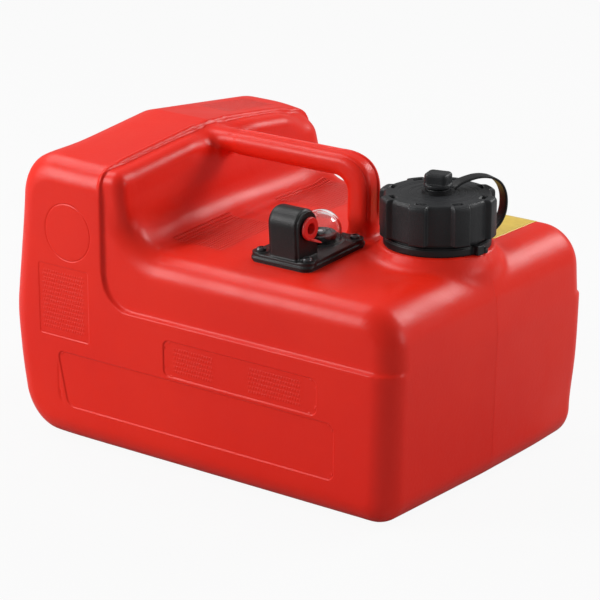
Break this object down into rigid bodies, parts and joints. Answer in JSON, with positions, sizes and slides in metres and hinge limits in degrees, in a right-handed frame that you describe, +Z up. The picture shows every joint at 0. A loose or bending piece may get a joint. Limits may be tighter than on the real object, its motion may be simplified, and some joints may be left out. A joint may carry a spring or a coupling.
{
  "type": "outboard fuel tank",
  "caption": "Red blow-moulded portable fuel tank with a carry handle, vented tethered screw cap and a screwed fuel fitting with hose port and float gauge.",
  "frame": {"origin": "under the middle of the tank, on the floor it rests on", "axes": "+X towards the filler cap along the tank's length, +Z up, the mould's parting plane at Y = 0"},
  "size_m": [0.3544, 0.25, 0.2265],
  "materials": {
    "red_polyethylene": "satin blow-moulded polyethylene",
    "black_plastic": "satin moulded",
    "soft_black": "matt flexible moulding",
    "seal_rubber": "matt",
    "black_screw": "black coated",
    "red_plug": "soft satin",
    "clear_dome": "clear polished",
    "white_plastic": "natural satin",
    "spindle_metal": "bare satin",
    "float_foam": "closed-cell nitrile foam",
    "yellow_label": "gloss film"
  },
  "bodies": {
    "tank": {"tank_body": "red_polyethylene", "tether_neck_ring": "soft_black", "tether_strap": "soft_black", "gauge_housing": "black_plastic", "housing_gasket": "seal_rubber", "housing_screws": "black_screw", "gauge_lens": "clear_dome", "lens_seal": "seal_rubber", "spindle_bush": "white_plastic", "float_guide": "white_plastic", "guide_foot": "white_plastic", "pickup_tube": "white_plastic", "pickup_strainer": "white_plastic", "deck_label": "yellow_label"},
    "tether_swivel": {"tether_cap_ring": "soft_black"},
    "cap": {"filler_cap": "black_plastic", "cap_gasket": "seal_rubber"},
    "vent_washer": {"vent_seal": "seal_rubber"},
    "vent_screw": {"vent_knob": "black_plastic"},
    "float": {"gauge_float": "float_foam"},
    "spindle": {"gauge_spindle": "spindle_metal", "gauge_drum": "black_plastic"},
    "plug": {"port_plug": "red_plug"}
  },
  "joints": [
    {"name": "cap_lift", "type": "slide", "parent": "tank", "child": "tether_swivel", "axis": [0, 0, 1], "range_m": [0, 0.00953], "deforming": ["tether_strap"]},
    {"name": "cap_turn", "type": "hinge", "parent": "tether_swivel", "child": "cap", "pos_m": [0.125, 0, 0.19], "axis": [0, 0, 1], "range_deg": [0, 540]},
    {"name": "vent_lift", "type": "slide", "parent": "cap", "child": "vent_washer", "axis": [0, 0, 1], "range_m": [0, 0.0024]},
    {"name": "vent_turn", "type": "hinge", "parent": "vent_washer", "child": "vent_screw", "pos_m": [0.125, 0, 0.212], "axis": [0, 0, 1], "range_deg": [0, 540]},
    {"name": "float_rise", "type": "slide", "parent": "tank", "child": "float", "axis": [0, -0.0559, 0.9984], "range_m": [0, 0.112]},
    {"name": "spindle_turn", "type": "hinge", "parent": "tank", "child": "spindle", "pos_m": [0.049, -0.03602, 0.16098], "axis": [0, -0.0559, 0.9984], "range_deg": [-225, 0]},
    {"name": "plug_pull", "type": "slide", "parent": "tank", "child": "plug", "axis": [1, 0, 0], "range_m": [0, 0.014]}
  ],
  "couplings": [
    {"joint": "cap_lift", "follows": "cap_turn", "m_per_rad": 0.0010106},
    {"joint": "vent_lift", "follows": "vent_turn", "m_per_rad": 0.00025464},
    {"joint": "spindle_turn", "follows": "float_rise", "rad_per_m": -34.907}
  ]
}
